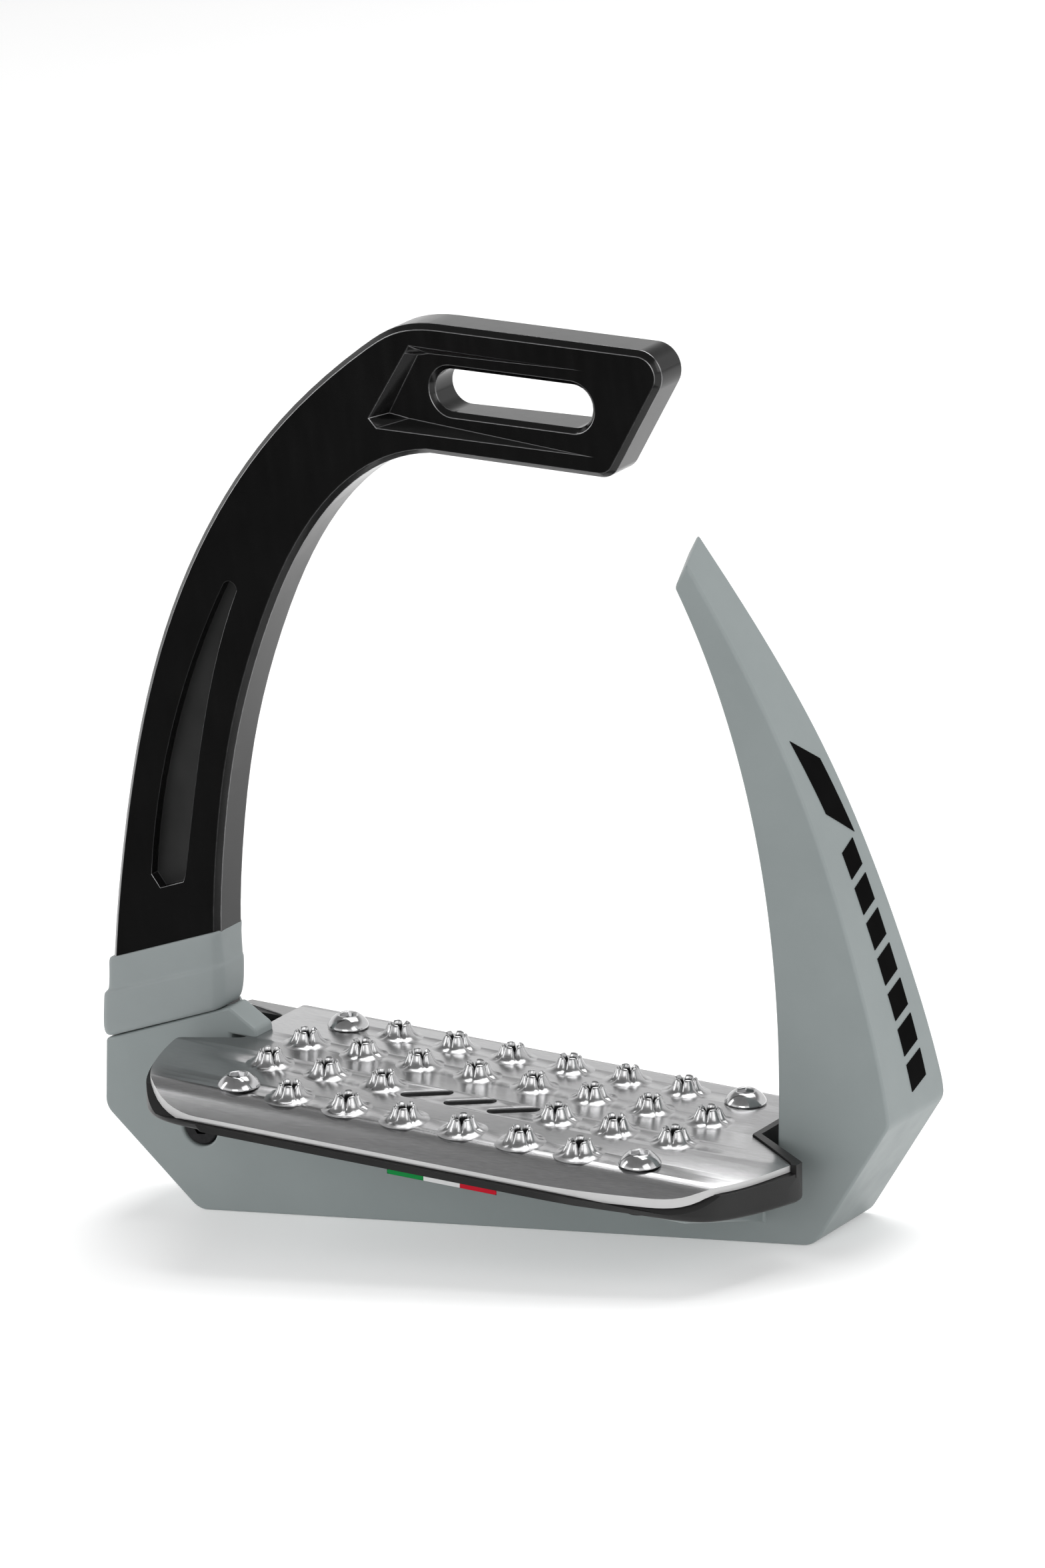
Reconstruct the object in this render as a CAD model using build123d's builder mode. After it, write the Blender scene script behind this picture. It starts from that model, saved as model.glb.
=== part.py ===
"""Safety stirrup iron: a hooked aluminium inner arm on a sprung pivot, a moulded base with a
flexible outer arm, and a toothed steel tread on a black pad.

Millimetres. +Z up, +X from the inner arm to the outer arm, +Y to the back. The origin is on
the ground under the middle of the overall box.
"""

from build123d import *
from math import cos, radians, sin, tan
import os

os.makedirs("parts", exist_ok=True)

# Driving dimensions -------------------------------------------------------------------------
FRONT_Y = 4.2  # front face of both arms and of the base
BAR_DEPTH = 8.6  # depth of the aluminium arm along Y
BASE_DEPTH = 20.0  # depth of the moulded base along Y
EDGE_BEVEL = 1.0  # bevel round the aluminium arm
POCKET_DEPTH = 2.0  # long pocket in the front of the arm
HALF_WIDTH = 83.0  # half of the overall width

TREAD_SLOPE = 7.3  # degrees that the tread falls towards the outer arm
TREAD_X, TREAD_Z = 3.4, 27.0  # middle of the tread's top surface
PLATE_THICK = 1.2
PAD_BOTTOM = -7.0  # underside of the pad below the tread's top surface
CROWN_RADIUS = 360.0  # gentle curve of the tread from front to back
TREAD_BACK = 25.5  # back edge of the plate from the tread's middle
LIP_START, LIP_EDGE = -22.0, -26.0  # the front lip turns down 45 degrees between these
PAD_FRONT, PAD_BACK = -26.6, 26.6
RIM_PROUD = 0.3  # rim of the pad above the tread at the outer arm
SHEET_GAP = 0.1  # between the plate and the pad

TOOTH_PITCH_X, TOOTH_PITCH_Y = 12.0, 12.15
TOOTH_HEIGHT, TOOTH_RADIUS, TOOTH_TIP, TOOTH_HOLE = 2.6, 2.4, 1.8, 1.2
SCREW_LEFT, SCREW_RIGHT, SCREW_Y = -40.9, 42.3, 18.25  # the four tread screws
SCREW_END, SCREW_RADIUS = -8.8, 2.0
HEAD_RADIUS, HEAD_HEIGHT = 3.8, 2.2
HEX_RADIUS, HEX_DEPTH = 1.8, 1.3
INSERT_RADIUS, INSERT_LENGTH = 2.8, 1.9

SLOT_X, SLOT_Z, SLOT_ANGLE = 23.3, 152.5, -4.8  # middle and tilt of the leather slot
SLOT_LENGTH, SLOT_WIDTH = 33.4, 7.8
SLOT_RIM = 0.9  # chamfer round the front of the slot

PIVOT_X, PIVOT_Z = -62.9, 16.0  # cross pin of the sprung inner arm
PIN_RADIUS, PIN_HEAD_RADIUS, PIN_HEAD_HEIGHT = 2.5, 3.7, 1.8
EYE_RADIUS, BUSH_WALL = 7.0, 1.0
RUNNING_FIT = 0.05
TANG_FRONT, TANG_BACK = 8.0, 12.4  # the tang is thinner than the arm
SOCKET_FRONT, SOCKET_BACK = 6.8, 13.6
SOCKET_GAP = 1.3  # clearance round the tang's sides
WASHER_THICK, WASHER_GAP = 1.0, 0.1
CUFF_WALL = 0.9
BUFFER_WIDTH, BUFFER_HEIGHT = 2.4, 8.0
BUFFER_PLACES = [(-74.5, PIVOT_Z + 5.0), (-53.4, PIVOT_Z + 5.0)]

STRIP_X, STRIP_Z = -11.9, 8.0  # middle of the three-colour strip on the base
STRIP_PIECE, STRIP_HEIGHT, STRIP_DEPTH, STRIP_PROUD = 7.7, 0.9, 0.8, 0.05

FLEX_X, FLEX_Z, FLEX_RADIUS = 71.4, 26.0, 11.8  # where the outer arm bends from the base
FLEX_GAP = 0.3

BACK_Y = FRONT_Y + BASE_DEPTH
BAR_BACK = FRONT_Y + BAR_DEPTH
FAR = 200.0  # longer than anything here, for cutting tools

SLOPE = radians(TREAD_SLOPE)
TREAD_ORIGIN = (TREAD_X, 0, TREAD_Z)
TREAD_ALONG = (cos(SLOPE), 0, -sin(SLOPE))
tread_top = Plane(origin=TREAD_ORIGIN, x_dir=TREAD_ALONG, z_dir=(sin(SLOPE), 0, cos(SLOPE)))
tread_section = Plane(origin=TREAD_ORIGIN, x_dir=(0, 1, 0), z_dir=TREAD_ALONG)
strip_plane = Plane(origin=(STRIP_X, FRONT_Y - STRIP_PROUD, STRIP_Z), x_dir=TREAD_ALONG, z_dir=(0, -1, 0))
screw_places = [(x, y) for x in (SCREW_LEFT, SCREW_RIGHT) for y in (-SCREW_Y, SCREW_Y)]


def front_plane(y):
    """The X-Z plane at depth y, seen from the front. A positive extrusion comes forward."""
    return Plane.XZ.offset(-y)


def tread_z(x, level=0.0):
    """Height at x of the tread's top surface, or of a level above or below it."""
    return TREAD_Z + level / cos(SLOPE) - tan(SLOPE) * (x - TREAD_X)


def save(piece, name):
    """Labels a finished piece and writes it."""
    piece.part.label = name
    export_step(piece.part, f"parts/{name}.step")


# Inner arm: a flat hook with the leather slot in its bar and a tang below ---------------------
ARM_FOOT_OUT, ARM_FOOT_IN = (-78.9, 38.0), (-54.0, 44.0)
BAR_TOP_START, BAR_UNDER_END = (10.5, 165.9), (5.0, 142.6)
BAR_TIP_TOP, BAR_TIP_LOW = (58.6, 160.8), (42.2, 138.5)

with BuildPart() as slot_recess:
    with BuildSketch(front_plane(FRONT_Y)):
        with BuildLine():
            Polyline((4.0, 162.2), (-6.4, 149.0), (-5.0, 147.2), (38.0, 142.8), (43.0, 157.6), (4.0, 162.2))
        make_face()
    extrude(amount=-3.0, taper=38)
    floor = Plane(origin=(-4.0, FRONT_Y + 2.6, 150.0), x_dir=(0, 0, 1), z_dir=(0.062, 1.0, 0))
    split(bisect_by=floor, keep=Keep.BOTTOM)

with BuildPart() as inner_arm:
    with BuildSketch(front_plane(FRONT_Y)) as hook:
        with BuildLine():
            bar_top = Line(BAR_TOP_START, BAR_TIP_TOP)
            Spline(
                ARM_FOOT_OUT, (-72.4, 67.1), (-57.3, 107.6), (-38.8, 135.2), (-20.3, 152.5), (-5.3, 162.4),
                BAR_TOP_START, tangents=((0.15, 1.0), bar_top % 0),
            )
            Line(BAR_TIP_TOP, BAR_TIP_LOW)
            bar_under = Line(BAR_TIP_LOW, BAR_UNDER_END)
            Spline(
                BAR_UNDER_END, (-7.0, 139.8), (-20.0, 130.4), (-34.3, 110.4), (-44.5, 88.0), (-50.0, 69.0),
                (-52.2, 58.5), (-53.4, 50.5), ARM_FOOT_IN,
            )
            Line(ARM_FOOT_IN, ARM_FOOT_OUT)
        make_face()
        fillet(hook.vertices().sort_by_distance(BAR_TIP_TOP)[0], radius=4.5)
        fillet(hook.vertices().sort_by_distance(BAR_TIP_LOW)[0], radius=4.0)
    extrude(amount=-BAR_DEPTH)
    chamfer(inner_arm.faces().filter_by(Axis.Y).edges(), length=EDGE_BEVEL)
    with BuildSketch(front_plane(FRONT_Y)):
        with Locations((SLOT_X, SLOT_Z)):
            SlotOverall(SLOT_LENGTH, SLOT_WIDTH, rotation=SLOT_ANGLE)
    extrude(amount=-FAR, mode=Mode.SUBTRACT)
    add(slot_recess.part, mode=Mode.SUBTRACT)
    slot_walls = [
        face for face in inner_arm.faces() if abs(face.normal_at().Y) < 0.01
        and abs(face.center().X - SLOT_X) < SLOT_LENGTH / 2 + 0.5 and abs(face.center().Z - SLOT_Z) < SLOT_WIDTH
    ]
    slot_rim = {edge for wall in slot_walls for edge in wall.edges()
                if edge.center().Y < FRONT_Y + BAR_DEPTH / 2 and abs((edge % 0.5).Y) < 0.5}
    chamfer(list(slot_rim), length=SLOT_RIM)
    with BuildSketch(front_plane(FRONT_Y)):
        with BuildLine():
            side = Spline((-65.9, 63.5), (-62.0, 78.2), (-52.6, 100.4), (-41.9, 118.0))
            top = TangentArc(side @ 1, (-39.2, 117.0), tangent=side % 1)
            inner_side = Spline(top @ 1, (-45.2, 105.0), (-54.2, 79.0), (-58.6, 63.5))
            Polyline(inner_side @ 1, (-59.2, 62.3), (-64.4, 61.0), side @ 0)
        make_face()
    extrude(amount=-POCKET_DEPTH, mode=Mode.SUBTRACT)
    with BuildSketch(front_plane(TANG_FRONT)):
        with BuildLine():
            Polyline((-76.5, 41.0), (PIVOT_X - EYE_RADIUS, PIVOT_Z), (PIVOT_X + EYE_RADIUS, PIVOT_Z),
                     (-56.0, 46.0), (-76.5, 41.0))
        make_face()
        with Locations((PIVOT_X, PIVOT_Z)):
            Circle(EYE_RADIUS)
            Circle(PIN_RADIUS + BUSH_WALL + RUNNING_FIT, mode=Mode.SUBTRACT)
    extrude(amount=TANG_FRONT - TANG_BACK)

with BuildPart() as pivot_bush:
    with BuildSketch(front_plane(TANG_FRONT)):
        with Locations((PIVOT_X, PIVOT_Z)):
            Circle(PIN_RADIUS + BUSH_WALL + RUNNING_FIT)
            Circle(PIN_RADIUS + RUNNING_FIT, mode=Mode.SUBTRACT)
    extrude(amount=TANG_FRONT - TANG_BACK)

# Arm cuff: an elastomer sleeve over the foot of the arm --------------------------------------
CUFF_LOW_OUT, CUFF_LOW_IN = (-81.5, 33.2), (-54.0, 39.9)
CUFF_TOP_OUT, CUFF_TOP_IN = (-77.5, 47.2), (-53.0, 53.2)

with BuildPart() as arm_cuff:
    with BuildSketch(front_plane(FRONT_Y - CUFF_WALL)):
        with BuildLine():
            Polyline(
                CUFF_LOW_OUT, (-80.8, 38.2), (-79.5, 41.2), (-78.6, 46.0), CUFF_TOP_OUT,
                CUFF_TOP_IN, (-52.8, 50.0), (-53.0, 46.2), CUFF_LOW_IN, CUFF_LOW_OUT,
            )
        make_face()
    extrude(amount=-(BAR_DEPTH + 2 * CUFF_WALL))
    corners = arm_cuff.edges().filter_by(Axis.Y, reverse=True)
    uprights = [e for e in corners if abs((e @ 1 - e @ 0).normalized().Z) > 0.8]
    fillet(uprights, radius=1.2)
    add(inner_arm.part, mode=Mode.SUBTRACT)

# Base and outer arm: one outline, split where the arm bends ----------------------------------
TIP_BACK_Y = BAR_BACK
TIP_Z, CORNER_Z = 123.5, 26.0
TIP_CUT = Plane(origin=(52.6, FRONT_Y, 119.2), z_dir=(-0.753, -0.395, 0.526))
NECK_LOW_OUT, NECK_LOW_IN = (-81.0, 31.9), (-52.9, 38.8)
BASE_CORNER = (-HALF_WIDTH - 0.18, 18.9)  # its rounding brings it back to the half width
HEEL, TOE = (-65.6, 0.0), (64.6, 0.0)
ARM_CORNER = (HALF_WIDTH, 22.7)
SEAT_LEFT, SEAT_RIGHT = -53.4, 59.6
GUSSET_BACK, GUSSET_LENGTH, GUSSET_LOW = 10.1, 10.0, 29.0

with BuildPart() as outer_arm:
    with BuildSketch(front_plane(FRONT_Y)):
        with BuildLine():
            outside = Spline(
                ARM_CORNER, (80.2, 50.0), (71.1, 88.7), (55.6, 123.5), tangents=((-0.02, 1.0), (-0.46, 0.89))
            )
            Polyline(outside @ 1, (52.5, 129.5), (49.2, 127.5), (52.6, 119.2))
            inside = Spline(
                (52.6, 119.2), (60.6, 91.0), (63.3, 60.0), (59.6, 18.0), tangents=((0.38, -0.93), (-0.17, -1.0))
            )
            Polyline(inside @ 1, (FLEX_X, 5.0), ARM_CORNER)
        make_face()
    extrude(amount=-BASE_DEPTH)
    split(bisect_by=TIP_CUT, keep=Keep.BOTTOM)
    with BuildSketch(Plane.YZ.offset(-FAR)):
        with BuildLine():
            Polyline((BACK_Y, CORNER_Z), (TIP_BACK_Y, TIP_Z), (TIP_BACK_Y, FAR), (FAR, FAR),
                     (FAR, CORNER_Z), (BACK_Y, CORNER_Z))
        make_face()
    extrude(amount=2 * FAR, mode=Mode.SUBTRACT)
    with BuildSketch(front_plane(0)):
        with Locations((FLEX_X, FLEX_Z)):
            Circle(FLEX_RADIUS)
            Rectangle(FAR, FAR, align=(Align.CENTER, Align.MIN))
    extrude(amount=-FAR, mode=Mode.INTERSECT)

with BuildPart() as base_frame:
    with BuildSketch(front_plane(FRONT_Y)):
        with BuildLine():
            Polyline(
                NECK_LOW_OUT, BASE_CORNER, HEEL, TOE, ARM_CORNER, (FLEX_X, FLEX_Z), (60.2, FLEX_Z),
                (SEAT_RIGHT, tread_z(SEAT_RIGHT, PAD_BOTTOM)), (SEAT_LEFT, tread_z(SEAT_LEFT, PAD_BOTTOM)),
                (SEAT_LEFT, 34.0), (-48.4, 34.0), (-48.4, 35.0), NECK_LOW_IN, NECK_LOW_OUT,
            )
        make_face()
    extrude(amount=-BASE_DEPTH)
    outer_rims = base_frame.edges().filter_by(Axis.Y)
    fillet([e for e in outer_rims if e.center().X < -80 and e.center().Z < 25], radius=3.0)
    fillet([e for e in base_frame.edges().filter_by(Axis.Y) if e.center().Z < 1], radius=4.0)
    # wedge-shaped bracket that carries the front half of the pad
    with BuildSketch(tread_section.offset(-50.0)):
        with BuildLine():
            Polyline((BACK_Y, PAD_BOTTOM), (-22.4, PAD_BOTTOM), (-22.4, -8.0), (FRONT_Y + 2.0, -16.7),
                     (BACK_Y, PAD_BOTTOM))
        make_face()
    extrude(amount=104.0)
    # the neck thins towards the cuff, and the pad's back ear sits behind it
    with BuildSketch(tread_section.offset(-FAR)):
        with BuildLine():
            Polyline((20.2, PAD_BOTTOM), (14.6, 1.0), (14.6, FAR), (FAR, FAR), (FAR, PAD_BOTTOM),
                     (20.2, PAD_BOTTOM))
        make_face()
    extrude(amount=FAR - 40.0, mode=Mode.SUBTRACT)
    # the gusset beside the neck is only as deep as the front of it
    with BuildSketch(front_plane(GUSSET_BACK)):
        with Locations((SEAT_LEFT, GUSSET_LOW)):
            Rectangle(GUSSET_LENGTH, FAR, align=(Align.MIN, Align.MIN))
    extrude(amount=-FAR, mode=Mode.SUBTRACT)
    # round socket that the outer arm bends in
    with BuildSketch(front_plane(0)):
        with Locations((FLEX_X, FLEX_Z)):
            Circle(FLEX_RADIUS + FLEX_GAP)
    extrude(amount=-FAR, mode=Mode.SUBTRACT)
    # socket for the tang, open at the top of the neck
    with BuildSketch(front_plane(SOCKET_FRONT)):
        with BuildLine():
            Polyline((-78.2, 44.0), (PIVOT_X - EYE_RADIUS - SOCKET_GAP, PIVOT_Z),
                     (PIVOT_X + EYE_RADIUS + SOCKET_GAP, PIVOT_Z), (-54.4, 50.0), (-78.2, 44.0))
        make_face()
        with Locations((PIVOT_X, PIVOT_Z)):
            Circle(EYE_RADIUS + SOCKET_GAP)
    extrude(amount=SOCKET_FRONT - SOCKET_BACK, mode=Mode.SUBTRACT)
    with BuildSketch(front_plane(SOCKET_FRONT)):
        with Locations(*BUFFER_PLACES):
            Rectangle(BUFFER_WIDTH, BUFFER_HEIGHT)
    extrude(amount=SOCKET_FRONT - SOCKET_BACK, mode=Mode.SUBTRACT)
    with BuildSketch(strip_plane):
        SlotOverall(3 * STRIP_PIECE, STRIP_HEIGHT)
    extrude(amount=-STRIP_DEPTH, mode=Mode.SUBTRACT)
    # pin bore with its head and nut recesses
    with BuildSketch(front_plane(FRONT_Y)):
        with Locations((PIVOT_X, PIVOT_Z)):
            Circle(PIN_RADIUS)
    extrude(amount=-BASE_DEPTH, mode=Mode.SUBTRACT)
    with BuildSketch(front_plane(FRONT_Y)):
        with Locations((PIVOT_X, PIVOT_Z)):
            Circle(PIN_HEAD_RADIUS)
    extrude(amount=-PIN_HEAD_HEIGHT, mode=Mode.SUBTRACT)
    with BuildSketch(front_plane(BACK_Y)):
        with Locations((PIVOT_X, PIVOT_Z)):
            RegularPolygon(4.4, 6)
    extrude(amount=4.0, mode=Mode.SUBTRACT)
    # seats of the threaded inserts
    with Locations(tread_top.offset(PAD_BOTTOM)):
        with Locations(*screw_places):
            Cylinder(INSERT_RADIUS, INSERT_LENGTH, align=(Align.CENTER, Align.CENTER, Align.MAX),
                     mode=Mode.SUBTRACT)


# Pivot: pin with a socket head, nut, washers and rubber buffers ------------------------------
with BuildPart() as pivot_pin:
    with BuildSketch(front_plane(FRONT_Y + 0.2)):
        with Locations((PIVOT_X, PIVOT_Z)):
            Circle(PIN_HEAD_RADIUS - 0.1)
    extrude(amount=0.2 - PIN_HEAD_HEIGHT)
    chamfer(pivot_pin.faces().sort_by(Axis.Y)[0].edges(), length=0.3)
    with BuildSketch(front_plane(FRONT_Y + PIN_HEAD_HEIGHT)):
        with Locations((PIVOT_X, PIVOT_Z)):
            Circle(PIN_RADIUS)
    extrude(amount=PIN_HEAD_HEIGHT + 0.4 - BASE_DEPTH)
    with BuildSketch(front_plane(FRONT_Y)):
        with Locations((PIVOT_X, PIVOT_Z)):
            RegularPolygon(1.75, 6)
    extrude(amount=-2.2, mode=Mode.SUBTRACT)

with BuildPart() as pivot_nut:
    with BuildSketch(front_plane(BACK_Y - 4.0)):
        with Locations((PIVOT_X, PIVOT_Z)):
            RegularPolygon(4.3, 6)
            Circle(PIN_RADIUS, mode=Mode.SUBTRACT)
    extrude(amount=-3.5)

with BuildPart() as thrust_washers:
    for washer_front in (SOCKET_FRONT + 0.05, TANG_BACK + WASHER_GAP):
        with BuildSketch(front_plane(washer_front)):
            with Locations((PIVOT_X, PIVOT_Z)):
                Circle(EYE_RADIUS - 1.0)
                Circle(PIN_RADIUS + RUNNING_FIT, mode=Mode.SUBTRACT)
        extrude(amount=-WASHER_THICK)

with BuildPart() as tang_buffers:
    with BuildSketch(front_plane(SOCKET_FRONT)):
        with Locations(*BUFFER_PLACES):
            Rectangle(BUFFER_WIDTH, BUFFER_HEIGHT)
    extrude(amount=SOCKET_FRONT - SOCKET_BACK)
    fillet(tang_buffers.edges().filter_by(Axis.Y), radius=0.5)


# Tread: black pad, toothed steel plate, four screws and their inserts ------------------------
def crown(y):
    """How far the crowned sheet lies below its middle, as a negative height."""
    return (CROWN_RADIUS**2 - y**2) ** 0.5 - CROWN_RADIUS


PAD_TOP = -PLATE_THICK - SHEET_GAP
HEAD_SEAT = crown(SCREW_Y - HEAD_RADIUS)  # the heads bear on the higher side of the crown
LIP_BEND = (LIP_START, crown(LIP_START))
LIP_TIP = (LIP_EDGE, LIP_BEND[1] + LIP_EDGE - LIP_START)
LIP_WALL = PLATE_THICK * cos(radians(45))
TEETH_BY_ROW = {1.5: (-30, 30), 0.5: (-42, 42), -0.5: (-42, 42), -1.5: (-30, 30)}
EMBLEM_GAP = 12.5  # no teeth nearer the middle than this in the row with the cut-out

tooth_places = [
    (TOOTH_PITCH_X * (column + 0.5), TOOTH_PITCH_Y * row)
    for row, (first, last) in TEETH_BY_ROW.items()
    for column in range(-4, 4)
    if first <= TOOTH_PITCH_X * (column + 0.5) <= last
    and not (row == -0.5 and abs(TOOTH_PITCH_X * (column + 0.5)) < EMBLEM_GAP)
]

with BuildPart() as tread_plate:
    with BuildSketch(tread_section.offset(-FAR)):
        with BuildLine():
            ThreePointArc(LIP_BEND, (0, 0), (TREAD_BACK, crown(TREAD_BACK)))
            Line((TREAD_BACK, crown(TREAD_BACK)), (TREAD_BACK, crown(TREAD_BACK) - PLATE_THICK))
            ThreePointArc((TREAD_BACK, crown(TREAD_BACK) - PLATE_THICK), (0, -PLATE_THICK),
                          (LIP_START + 0.5, crown(LIP_START + 0.5) - PLATE_THICK))
            Polyline((LIP_START + 0.5, crown(LIP_START + 0.5) - PLATE_THICK),
                     (LIP_TIP[0] + LIP_WALL, LIP_TIP[1] - LIP_WALL), LIP_TIP, LIP_BEND)
        make_face()
    extrude(amount=2 * FAR)
    with BuildSketch(tread_top.offset(-20.0)):
        with BuildLine():
            Polyline((52.4, TREAD_BACK), (-66.4, TREAD_BACK), (-66.4, 21.2), (-55.0, 21.2), (-53.4, 3.0),
                     (-64.1, -2.7), (-63.8, -4.4))
            Spline((-63.8, -4.4), (-61.0, -14.8), (-57.3, -21.6), (-45.0, LIP_EDGE), tangents=((0.2, -1), (1, 0)))
            Line((-45.0, LIP_EDGE), (24.0, LIP_EDGE))
            Spline((24.0, LIP_EDGE), (46.0, -25.1), (58.4, -22.0), (62.8, -16.0), (65.9, -6.6),
                   tangents=((1, 0), (0.3, 1)))
            Polyline((65.9, -6.6), (65.2, -5.9), (52.4, 3.0), (52.4, TREAD_BACK))
        make_face()
    extrude(amount=30.0, mode=Mode.INTERSECT)
    with Locations(tread_top):
        with Locations(*[(x, y, crown(y) - PLATE_THICK / 2) for x, y in tooth_places]):
            Cone(TOOTH_RADIUS, TOOTH_TIP, TOOTH_HEIGHT + PLATE_THICK / 2,
                 align=(Align.CENTER, Align.CENTER, Align.MIN))
        with Locations(*[(x, y) for x, y in tooth_places]):
            Cylinder(TOOTH_HOLE, 20.0, mode=Mode.SUBTRACT)
        with Locations(*screw_places):
            Cylinder(SCREW_RADIUS + 0.2, 20.0, mode=Mode.SUBTRACT)
    with BuildSketch(tread_top):
        with Locations((-9.0, -0.5 * TOOTH_PITCH_Y), (0.0, -0.5 * TOOTH_PITCH_Y), (9.0, -0.5 * TOOTH_PITCH_Y)):
            SlotOverall(9.5, 2.6, rotation=35)
    extrude(amount=20.0, both=True, mode=Mode.SUBTRACT)

with BuildPart() as tread_pad:
    with BuildSketch(tread_section.offset(-FAR)):
        with BuildLine():
            ThreePointArc((-21.3, crown(21.3) + PAD_TOP), (0, PAD_TOP), (PAD_BACK, crown(PAD_BACK) + PAD_TOP))
            Polyline((PAD_BACK, crown(PAD_BACK) + PAD_TOP), (PAD_BACK, PAD_BOTTOM), (PAD_FRONT, PAD_BOTTOM),
                     (PAD_FRONT, -5.8), (-25.2, -5.8), (-21.3, crown(21.3) + PAD_TOP))
        make_face()
    extrude(amount=2 * FAR)
    with BuildSketch(tread_top.offset(-20.0)):
        with BuildLine():
            Polyline((53.9, PAD_BACK), (-67.0, PAD_BACK), (-67.0, 20.6), (-56.0, 20.6), (-56.0, 2.4),
                     (-65.2, -2.3), (-64.8, -4.6))
            Spline((-64.8, -4.6), (-61.8, -15.0), (-58.0, -22.2), (-45.0, PAD_FRONT), tangents=((0.2, -1), (1, 0)))
            Line((-45.0, PAD_FRONT), (24.0, PAD_FRONT))
            Spline((24.0, PAD_FRONT), (46.0, -25.7), (59.2, -22.5), (63.7, -16.2), (67.3, -6.6),
                   tangents=((1, 0), (0.3, 1)))
            Polyline((67.3, -6.6), (67.3, -5.0), (53.9, 4.0), (53.9, PAD_BACK))
        make_face()
    extrude(amount=30.0, mode=Mode.INTERSECT)
    # raised rim round the notch at the outer arm
    with BuildSketch(tread_top.offset(-2.0)):
        with BuildLine():
            Polyline((67.3, -7.0), (67.3, -5.0), (53.9, 4.0), (53.9, 22.0), (52.6, 22.0), (52.6, 3.2),
                     (65.5, -5.8), (66.2, -7.0), (67.3, -7.0))
        make_face()
    extrude(amount=2.0 + RIM_PROUD)
    with Locations(tread_top):
        with Locations(*screw_places):
            Cylinder(SCREW_RADIUS + 0.2, 40.0, mode=Mode.SUBTRACT)

with BuildPart() as tread_screws:
    with Locations(tread_top):
        with Locations(*[(x, y, HEAD_SEAT) for x, y in screw_places]):
            Cylinder(HEAD_RADIUS, HEAD_HEIGHT, align=(Align.CENTER, Align.CENTER, Align.MIN))
    crown_edges = tread_screws.faces().filter_by(GeomType.PLANE).filter_by(
        lambda face: face.normal_at().Z > 0.9).edges()
    fillet(crown_edges, radius=1.7)
    with Locations(tread_top.offset(HEAD_SEAT)):
        with Locations(*screw_places):
            Cylinder(SCREW_RADIUS, HEAD_SEAT - SCREW_END,
                     align=(Align.CENTER, Align.CENTER, Align.MAX))
    with BuildSketch(tread_top.offset(HEAD_SEAT + HEAD_HEIGHT)):
        with Locations(*screw_places):
            RegularPolygon(HEX_RADIUS, 6)
    extrude(amount=-HEX_DEPTH, mode=Mode.SUBTRACT)

with BuildPart() as tread_inserts:
    with BuildSketch(tread_top.offset(PAD_BOTTOM)):
        with Locations(*screw_places):
            Circle(INSERT_RADIUS)
            Circle(SCREW_RADIUS, mode=Mode.SUBTRACT)
    extrude(amount=-INSERT_LENGTH)


# Three-colour strip set into the base --------------------------------------------------------
def strip_piece(offset):
    """One third of the strip, offset along it from the middle."""
    with BuildPart() as piece:
        with BuildSketch(strip_plane):
            SlotOverall(3 * STRIP_PIECE, STRIP_HEIGHT)
            with Locations((offset, 0)):
                Rectangle(STRIP_PIECE, STRIP_HEIGHT, mode=Mode.INTERSECT)
        extrude(amount=-STRIP_DEPTH)
    return piece


strip_green = strip_piece(-STRIP_PIECE)
strip_white = strip_piece(0.0)
strip_red = strip_piece(STRIP_PIECE)

save(inner_arm, "inner_arm")
save(pivot_bush, "pivot_bush")
save(arm_cuff, "arm_cuff")
save(outer_arm, "outer_arm")
save(base_frame, "base_frame")
save(pivot_pin, "pivot_pin")
save(pivot_nut, "pivot_nut")
save(thrust_washers, "thrust_washers")
save(tang_buffers, "tang_buffers")
save(tread_plate, "tread_plate")
save(tread_pad, "tread_pad")
save(tread_screws, "tread_screws")
save(tread_inserts, "tread_inserts")
save(strip_green, "strip_green")
save(strip_white, "strip_white")
save(strip_red, "strip_red")
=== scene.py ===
import bmesh
import bpy
import math
import numpy as np
from mathutils import Matrix, Vector


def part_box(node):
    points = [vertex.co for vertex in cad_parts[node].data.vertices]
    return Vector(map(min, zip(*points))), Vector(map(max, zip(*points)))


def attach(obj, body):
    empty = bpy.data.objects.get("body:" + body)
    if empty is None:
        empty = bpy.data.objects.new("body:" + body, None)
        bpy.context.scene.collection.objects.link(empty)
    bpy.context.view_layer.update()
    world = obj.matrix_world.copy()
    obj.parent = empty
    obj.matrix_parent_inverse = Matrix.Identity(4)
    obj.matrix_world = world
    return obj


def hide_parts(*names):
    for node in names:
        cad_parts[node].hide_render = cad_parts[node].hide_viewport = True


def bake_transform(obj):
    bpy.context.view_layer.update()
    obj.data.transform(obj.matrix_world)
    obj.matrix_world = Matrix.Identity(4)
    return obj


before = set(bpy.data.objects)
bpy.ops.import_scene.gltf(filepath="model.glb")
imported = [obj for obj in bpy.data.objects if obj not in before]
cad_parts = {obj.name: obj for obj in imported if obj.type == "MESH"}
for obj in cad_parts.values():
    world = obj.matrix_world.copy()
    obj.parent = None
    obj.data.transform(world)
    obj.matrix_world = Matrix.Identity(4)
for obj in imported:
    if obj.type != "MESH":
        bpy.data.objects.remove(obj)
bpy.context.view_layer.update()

# Shapes are worked out in millimetres in the shared frame, or in the tread's own frame, and scaled once.
MM = 0.001
FRONT_Y, BACK_Y, BAR_BACK = (1000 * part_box(n)[i].y for n, i in (
    ("outer_arm", 0), ("outer_arm", 1), ("inner_arm", 1)))
FAR = 300.0  # beyond every part of the stirrup

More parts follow.
